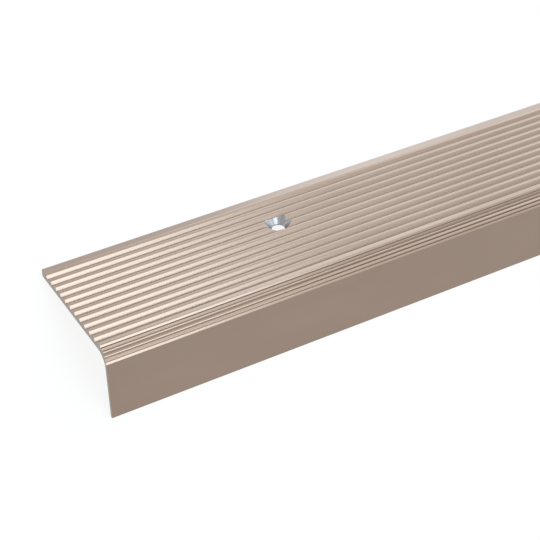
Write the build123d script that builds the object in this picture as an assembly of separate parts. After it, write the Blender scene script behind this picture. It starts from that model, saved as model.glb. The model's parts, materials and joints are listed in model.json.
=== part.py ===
from build123d import *
import os
from math import atan2, cos, degrees, radians, sin, tan

# Stair nosing: one length of extruded aluminium angle, ribbed on its tread and fluted round its nose.
# All sizes in millimetres. The section is drawn as fitted on a step: x runs back from the leg's
# outer face, y runs up from the leg's bottom edge.

# Overall sizes
length = 800.0
tread_depth = 50.0
leg_height = 27.4
tread_thickness = 2.9
leg_thickness = 1.1

# Nose, a quarter ellipse from the tread's top down to the leg's outer face
nose_run = 5.1
nose_drop = 6.0

# Corners
bend_radius = 4.5
edge_radius = 0.3

# Anti-slip ribs with round crests, and the grooves between them
front_land = 0.2
least_back_land = 2.5
rib_pitch = 3.79
rib_width = 1.69
crest_radius = 1.2
crest_drop = 0.35
shoulder_radius = 0.3
groove_depth = 1.35
groove_floor = 0.7
groove_foot_radius = 0.15

# Fine V-shaped flutes round the nose
flute_count = 5
flute_depth = 0.44
flute_angle = 110.0
flute_pitch_angle = 14.3
first_flute_angle = 21.7

# Countersunk screw holes in a row along the tread
hole_count = 4
hole_diameter = 4.5
countersink_diameter = 9.6
countersink_angle = 90.0
hole_end_distance = 80.0
hole_from_front = 33.0
cutter_overrun = 1.0

# Derived sizes
underside = leg_height - tread_thickness
first_crest = nose_run + front_land
groove_count = int((tread_depth - least_back_land - first_crest) / rib_pitch)
hole_spacing = (length - 2 * hole_end_distance) / (hole_count - 1)
sink_slope = tan(radians(countersink_angle / 2))
sink_depth = (countersink_diameter - hole_diameter) / 2 / sink_slope
# Unheld, the angle rests like a low tent on the leg's bottom edge and the tread's back edge.
rest_tilt = degrees(atan2(underside, tread_depth - leg_thickness))


def leg_corners():
    """Corners of the leg and the tread's underside, as (x, y, radius), from the front to the back."""
    return [
        (0, leg_height - nose_drop, 0),
        (0, 0, edge_radius),
        (leg_thickness, 0, edge_radius),
        (leg_thickness, underside, bend_radius),
        (tread_depth, underside, edge_radius),
    ]


def groove_corners(middle):
    """Corners of one groove about x = middle, from the shoulder behind it to the shoulder before it."""
    half_mouth = (rib_pitch - rib_width) / 2
    half_floor = groove_floor / 2
    shoulder_level = leg_height - crest_drop
    floor_level = leg_height - groove_depth
    return [
        (middle + half_mouth, shoulder_level, shoulder_radius),
        (middle + half_floor, floor_level, groove_foot_radius),
        (middle - half_floor, floor_level, groove_foot_radius),
        (middle - half_mouth, shoulder_level, shoulder_radius),
    ]


def tread_corners():
    """Corners of the tread's top, from the back edge over the ribs to the nose."""
    corners = [(tread_depth, leg_height, edge_radius)]
    for number in reversed(range(groove_count)):
        crest = first_crest + (number + 1) * rib_pitch
        corners.append((crest, leg_height, crest_radius))
        corners += groove_corners(crest - rib_pitch / 2)
    return corners + [(first_crest, leg_height, edge_radius), (nose_run, leg_height, 0)]


def flutes():
    """V-shaped tools that cut the flutes, set along the nose's curve and square to it."""
    tools = []
    spread = tan(radians(flute_angle / 2))
    for number in range(flute_count):
        angle = radians(first_flute_angle + number * flute_pitch_angle)
        surface = Vector(nose_run * (1 - sin(angle)), leg_height - nose_drop * (1 - cos(angle)))
        outward = Vector(-nose_drop * sin(angle), nose_run * cos(angle)).normalized()
        along = Vector(outward.Y, -outward.X)
        root = surface - outward * flute_depth
        mouth = surface + outward * flute_depth
        half_width = along * 2 * flute_depth * spread
        tools.append(make_face(Polyline(root, mouth + half_width, mouth - half_width, close=True)))
    return tools


def section():
    """The whole extruded section."""
    corners = leg_corners() + tread_corners()
    outline = FilletPolyline(
        [(x, y) for x, y, _ in corners],
        radius=[radius for _, _, radius in corners[1:-1]],
    )
    nose = EllipticalCenterArc(
        (nose_run, leg_height - nose_drop),
        x_radius=nose_run,
        y_radius=nose_drop,
        start_angle=90,
        arc_size=90,
    )
    return make_face([outline, nose]) - flutes()


def screw_holes():
    """Countersunk cutters, square to the tread, evenly spaced between the two end distances."""
    mouth_radius = countersink_diameter / 2 + cutter_overrun * sink_slope
    profile = Polyline(
        (0, -tread_thickness - cutter_overrun),
        (hole_diameter / 2, -tread_thickness - cutter_overrun),
        (hole_diameter / 2, -sink_depth),
        (mouth_radius, cutter_overrun),
        (0, cutter_overrun),
        close=True,
    )
    cutter = revolve(Plane.XZ * make_face(profile), Axis.Z)
    places = [hole_end_distance + number * hole_spacing for number in range(hole_count)]
    return [Pos(x, hole_from_front, leg_height) * cutter for x in places]


def nosing():
    """The drilled bar as it rests, centred over the origin with its lowest edges on z = 0."""
    bar = extrude(Plane.YZ * section(), amount=length) - screw_holes()
    bar = Rot(X=-rest_tilt) * bar
    box = bar.bounding_box()
    return Pos(-box.center().X, -box.center().Y, -box.min.Z) * bar


os.makedirs("parts", exist_ok=True)
part = nosing()
export_step(part, "parts/nosing.step")
print("tilt", round(rest_tilt, 3), "box", part.bounding_box().size, "volume", round(part.volume))
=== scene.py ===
import bpy
import json
from math import pi, radians
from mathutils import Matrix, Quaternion, Vector


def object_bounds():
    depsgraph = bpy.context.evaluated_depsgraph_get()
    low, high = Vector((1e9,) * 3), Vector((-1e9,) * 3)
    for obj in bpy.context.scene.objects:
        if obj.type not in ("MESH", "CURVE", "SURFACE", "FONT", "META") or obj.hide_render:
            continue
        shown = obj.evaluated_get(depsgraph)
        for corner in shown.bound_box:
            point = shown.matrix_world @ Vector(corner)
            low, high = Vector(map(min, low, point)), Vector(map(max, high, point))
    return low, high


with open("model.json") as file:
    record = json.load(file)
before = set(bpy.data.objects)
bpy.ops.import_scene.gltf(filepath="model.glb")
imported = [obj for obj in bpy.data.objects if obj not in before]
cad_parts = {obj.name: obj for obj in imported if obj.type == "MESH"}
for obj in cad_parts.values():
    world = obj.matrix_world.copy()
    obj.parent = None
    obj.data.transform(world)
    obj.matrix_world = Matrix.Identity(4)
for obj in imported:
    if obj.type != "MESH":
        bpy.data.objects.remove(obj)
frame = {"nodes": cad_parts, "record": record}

# Stair nosing. The bar itself comes with the frame; this script gives it its finish,
# a plain studio and a camera. Metres, +X along the bar, +Z up from the floor.

frameBox = [list(corner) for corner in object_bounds()]
bar = frame["nodes"]["nosing"]


# Shader maths

class Value:
    # a socket that can be used in Python expressions
    def __init__(self, maker, socket):
        self.maker, self.socket = maker, socket

    def join(self, operation, first, second):
        return self.maker.node("ShaderNodeMath", {"operation": operation}, {0: first, 1: second})[0]

    def __add__(self, other):
        return self.join("ADD", self, other)

    def __radd__(self, other):
        return self.join("ADD", other, self)

    def __sub__(self, other):
        return self.join("SUBTRACT", self, other)

    def __rsub__(self, other):
        return self.join("SUBTRACT", other, self)

    def __mul__(self, other):
        return self.join("MULTIPLY", self, other)

    def __rmul__(self, other):
        return self.join("MULTIPLY", other, self)


class Outputs:
    # the outputs of one node, by name or number
    def __init__(self, maker, node):
        self.maker, self.made = maker, node

    def __getitem__(self, key):
        return Value(self.maker, self.made.outputs[key])


class Maker:
    # builds the nodes of one material or world
    def __init__(self, tree):
        self.tree = tree
        self.tree.nodes.clear()

    def node(self, kind, settings={}, sockets={}):
        made = self.tree.nodes.new(kind)
        for name, value in settings.items():
            setattr(made, name, value)
        for key, value in sockets.items():
            if isinstance(value, Value):
                self.tree.links.new(value.socket, made.inputs[key])
            else:
                made.inputs[key].default_value = value
        return Outputs(self, made)

    def blend(self, share, first, second):
        # a colour between two others
        return self.node("ShaderNodeMix", {"data_type": "RGBA"}, {0: share, 6: first, 7: second})[2]

    def dot(self, first, second):
        made = self.node("ShaderNodeVectorMath", {"operation": "DOT_PRODUCT"}, {0: first, 1: second})
        return made["Value"]

    def noise(self, place, scale, stretch=(1.0, 1.0, 1.0), detail=3.0, roughness=0.5):
        mapped = self.node("ShaderNodeMapping", {}, {"Vector": place, "Scale": stretch})["Vector"]
        return self.node("ShaderNodeTexNoise", {}, {
            "Vector": mapped, "Scale": scale, "Detail": detail, "Roughness": roughness,
        })["Fac"]

    def place(self):
        return self.node("ShaderNodeTexCoord")["Object"]

    def metal(self, look, mixture, texture, height):
        # metal between two tones, with a fine relief, through to the material's output
        tone = self.blend(mixture, rgba(look["dark"]), rgba(look["light"]))
        rough = look["roughness"] + swing(texture, look["roughnessSpread"])
        relief = self.node("ShaderNodeBump", {}, {
            "Strength": look["bumpStrength"], "Distance": look["bumpDepth"], "Height": height,
        })["Normal"]
        surface = self.node("ShaderNodeBsdfPrincipled", {}, {
            "Base Color": tone, "Metallic": 1.0, "Roughness": rough, "Normal": relief,
        })[0]
        self.node("ShaderNodeOutputMaterial", {}, {"Surface": surface})


def newMaterial(name):
    material = bpy.data.materials.new(name)
    material.use_nodes = True
    return material, Maker(material.node_tree)


def rgba(colour):
    return (*colour, 1.0)


def swing(noise, amount):
    # a noise lies about 0.5, and its swing lies about 0
    return (noise - 0.5) * amount


# Anodised finish of the drawn faces

anodised = {
    "light": (0.329, 0.252, 0.200),
    "dark": (0.294, 0.224, 0.177),
    "lightShare": 0.5,                      # how much of the light tone there is, on the whole
    "streakContrast": 0.6,
    "cloudContrast": 1.1,
    "roughness": 0.22,
    "roughnessSpread": 0.08,
    "streakStretch": (0.004, 1.0, 1.0),     # drawing lines run along the bar
    "streakScale": 1500.0,
    "cloudStretch": (0.35, 1.0, 1.0),
    "cloudScale": 75.0,
    "grainScale": 2600.0,
    "streakHeight": 0.7,
    "grainHeight": 0.3,
    "bumpDepth": 0.000004,
    "bumpStrength": 0.28,
}


def makeAnodised(look):
    material, make = newMaterial("anodisedBronze")
    place = make.place()
    streaks = make.noise(place, look["streakScale"], look["streakStretch"], detail=4.0, roughness=0.6)
    clouds = make.noise(place, look["cloudScale"], look["cloudStretch"], detail=2.0)
    grain = make.noise(place, look["grainScale"], detail=1.0)
    contrast = swing(streaks, look["streakContrast"]) + swing(clouds, look["cloudContrast"])
    height = streaks * look["streakHeight"] + grain * look["grainHeight"]
    make.metal(look, contrast + look["lightShare"], streaks, height)
    return material


# Bare metal where the bar was sawn to length

sawnEnd = {
    "light": (0.380, 0.342, 0.300),
    "dark": (0.285, 0.262, 0.234),
    "roughness": 0.43,
    "roughnessSpread": 0.1,
    "markStretch": (1.0, 0.12, 1.0),        # saw marks run across the bar
    "markScale": 2200.0,
    "bumpDepth": 0.00001,
    "bumpStrength": 0.4,
}


def makeSawnEnd(look):
    material, make = newMaterial("sawnEnd")
    marks = make.noise(make.place(), look["markScale"], look["markStretch"], roughness=0.6)
    make.metal(look, marks, marks, marks)
    return material


# Bare bright metal of the holes and countersinks, with turning streaks round the cone that also paint in
# a highlight and a dark band, the same on every hole

countersink = {
    # light and dark lie far apart: the streaks are the cone's own turning marks and also a painted
    # highlight and painted shade
    "light": (0.58, 0.575, 0.595),
    "dark": (0.17, 0.175, 0.195),
    "lightShare": 0.5,
    "streakContrast": 2.0,
    "ringContrast": 0.3,
    "roughness": 0.32,
    "roughnessSpread": 0.08,
    "streakScale": 2.4,
    "streakOffset": (5.1, 6.9, 9.3),        # picks where the streaks fall round the cone, and with them the painted highlight and the painted dark band
    "ringScale": 5200.0,
    "bumpDepth": 0.000008,
    "bumpStrength": 0.3,
}


def makeCountersink(look, holes):
    material, make = newMaterial("bareCountersinkPaintedHighlight")
    place = make.place()
    foot, axis = holes[0][:2]
    spacing = holes[1][0].x - foot.x
    downhill = Vector((0.0, axis.z, -axis.y))
    # where a point lies from the nearest hole's axis: along the bar, and down the tread's slope
    across = make.node("ShaderNodeMath", {"operation": "WRAP"}, {
        0: make.dot(place, (1.0, 0.0, 0.0)) - foot.x, 1: spacing / 2, 2: -spacing / 2,
    })[0]
    down = make.dot(place, downhill) - foot.dot(downhill)
    # streaks run down the cone, so they change only with the direction from the axis; the same offset at
    # every hole puts the painted highlight and painted dark band in the same place on each cone
    spoke = make.node("ShaderNodeVectorMath", {"operation": "NORMALIZE"}, {
        0: make.node("ShaderNodeCombineXYZ", {}, {"X": across, "Y": down})["Vector"],
    })["Vector"]
    shifted = make.node("ShaderNodeVectorMath", {"operation": "ADD"}, {
        0: spoke, 1: look["streakOffset"],
    })["Vector"]
    streaks = make.noise(shifted, look["streakScale"], detail=4.0, roughness=0.6)
    rings = make.node("ShaderNodeTexNoise", {"noise_dimensions": "1D"}, {
        "W": make.dot(place, axis), "Scale": look["ringScale"], "Detail": 3.0,
    })["Fac"]
    contrast = swing(streaks, look["streakContrast"]) + swing(rings, look["ringContrast"])
    make.metal(look, contrast + look["lightShare"], rings, rings)
    return material


# The record's own screw holes: the foot of each cone, the hole's axis and its radius

millimetresPerMetre = 1000.0
holes = []
for mount in frame["record"]["mounts"]:
    if mount["kind"] == "bore":
        axis = Vector(mount["axis"]).normalized()
        radius = mount["dims"]["r_mm"] / millimetresPerMetre
        halfWall = mount["dims"]["length_mm"] / millimetresPerMetre / 2
        holes.append((Vector(mount["pos_m"]) + axis * halfWall, axis, radius))


# Which of the bar's faces carry which finish

faceRules = {
    "endSlack": 0.00002,                    # how far from the bar's end a sawn face's centre may lie
    "coneSlack": 0.00005,                   # how far outside the cone a turned face's centre may lie
    "coneReach": 0.0027,                    # from the bore's wall out to the countersink's rim
}


def faceFinish(centre, holes, halfLength, rules):
    if abs(centre.x) > halfLength - rules["endSlack"]:
        return "sawn"
    for foot, axis, radius in holes:
        offset = centre - foot
        rise = offset.dot(axis)
        reach = (offset - axis * rise).length - radius
        # the cone opens as fast as it rises
        if reach < max(rise, 0.0) + rules["coneSlack"] and reach < rules["coneReach"]:
            return "turned"
    return "drawn"


finishes = {
    "drawn": makeAnodised(anodised),
    "sawn": makeSawnEnd(sawnEnd),
    "turned": makeCountersink(countersink, holes),
}
bar.data.materials.clear()
for material in finishes.values():
    bar.data.materials.append(material)
slots = {name: slot for slot, name in enumerate(finishes)}
counts = dict.fromkeys(finishes, 0)
for face in bar.data.polygons:
    finish = faceFinish(Vector(face.center), holes, frameBox[1][0], faceRules)
    face.material_index = slots[finish]
    counts[finish] += 1
print("bar: faces by finish", counts)


# Studio

studio = {
    "floorSize": 24.0,
    "floorColour": (0.96, 0.95, 0.94),
    "ownLight": 0.89,                       # share of plain white in the floor that camera and metal see
    "worldLevel": 0.6,
    "whiteLevel": 1.0,                      # the strength that shows as white
    "white": (1.0, 1.0, 1.0),
}


def whiteShare(make):
    # 1 where the camera, metal or glass looks, 0 where light is gathered
    rays = make.node("ShaderNodeLightPath")
    return rays["Is Camera Ray"] + rays["Is Glossy Ray"] + rays["Is Transmission Ray"]


def makeFloor(look):
    material, make = newMaterial("paleFloor")
    plain = make.node("ShaderNodeBsdfDiffuse", {}, {"Color": rgba(look["floorColour"])})[0]
    white = make.node("ShaderNodeEmission", {}, {
        "Color": rgba(look["white"]), "Strength": look["whiteLevel"],
    })[0]
    share = whiteShare(make) * look["ownLight"]
    surface = make.node("ShaderNodeMixShader", {}, {0: share, 1: plain, 2: white})[0]
    make.node("ShaderNodeOutputMaterial", {}, {"Surface": surface})
    return material


def makeWorld(look):
    world = bpy.data.worlds.new("studioWorld")
    world.use_nodes = True
    make = Maker(world.node_tree)
    plain, white = [
        make.node("ShaderNodeBackground", {}, {"Color": rgba(look["white"]), "Strength": look[level]})[0]
        for level in ("worldLevel", "whiteLevel")
    ]
    surface = make.node("ShaderNodeMixShader", {}, {0: whiteShare(make), 1: plain, 2: white})[0]
    make.node("ShaderNodeOutputWorld", {}, {"Surface": surface})
    return world


bpy.ops.object.select_all(action="DESELECT")
bpy.ops.mesh.primitive_plane_add(size=studio["floorSize"], location=(0, 0, 0))
floor = bpy.context.object
floor.name = "floor"
floor.data.materials.append(makeFloor(studio))
bpy.context.scene.world = makeWorld(studio)

# Softboxes. A panel's level is its brightness, whatever its size, and turn spins it about its aim
panels = {
    "frontPanel": {
        "place": (-0.212, -0.53, 0.86), "size": (0.5, 1.56), "turn": 0.0,
        "level": 3.0, "colour": (0.72, 0.87, 1.0),
    },
    "skirtPanel": {
        "place": (-0.05, -1.15, 0.32), "size": (0.5, 0.4), "turn": 0.0,
        "level": 1.0, "colour": (0.74, 0.88, 1.0),
    },
    "backPanel": {
        "place": (0.96, 1.36, 0.8), "size": (1.7, 1.5), "turn": -15.0,
        "level": 1.25, "colour": (0.70, 0.85, 1.0),
    },
    "backFill": {
        "place": (-0.1, 1.6, 0.5), "size": (1.6, 1.2), "turn": 0.0,
        "level": 0.48, "colour": (0.62, 0.80, 1.0),
    },
    "sidePanel": {
        "place": (1.48, 0.12, 0.88), "size": (1.0, 1.0), "turn": 0.0,
        "level": 0.4, "colour": (0.85, 0.9, 1.0),
    },
    "overheadPanel": {
        "place": (0.40, 0.60, 1.4), "size": (1.3, 1.3), "turn": 0.0,
        "level": 0.37, "colour": (0.8, 0.9, 1.0),
    },
    "topFill": {
        "place": (0.7, -0.3, 1.5), "size": (3.2, 2.2), "turn": 0.0,
        "level": 0.45, "colour": (0.84, 0.92, 1.0),
    },
}
panelTarget = Vector((-0.3, 0.0, 0.01))     # the part of the bar that the camera sees


def addPanel(name, look, target):
    bpy.ops.object.light_add(type="AREA", location=look["place"])
    panel = bpy.context.object
    panel.name = name
    aim = (target - panel.location).to_track_quat("-Z", "Y")
    spin = Quaternion((0.0, 0.0, 1.0), radians(look["turn"]))
    panel.rotation_euler = (aim @ spin).to_euler()
    width, height = look["size"]
    panel.data.shape = "RECTANGLE"
    panel.data.size = width
    panel.data.size_y = height
    panel.data.energy = look["level"] * pi * width * height
    panel.data.color = look["colour"]


for name, look in panels.items():
    addPanel(name, look, panelTarget)
print("studio: floor, world and", len(panels), "panels")


# Camera, at the photograph's own angle and distance

view = {
    "place": (-0.527373, -0.189469, 0.442023),
    "turn": (30.1624, -11.4806, -27.4522),
    "lens": 101.548,
    "sensorWidth": 36.0,
    "nearClip": 0.01,
}
bpy.ops.object.camera_add(location=view["place"], rotation=[radians(angle) for angle in view["turn"]])
camera = bpy.context.object
camera.data.lens = view["lens"]
camera.data.sensor_width = view["sensorWidth"]
camera.data.clip_start = view["nearClip"]
bpy.context.scene.camera = camera
bpy.context.scene.view_settings.view_transform = "Standard"
print("camera: set")
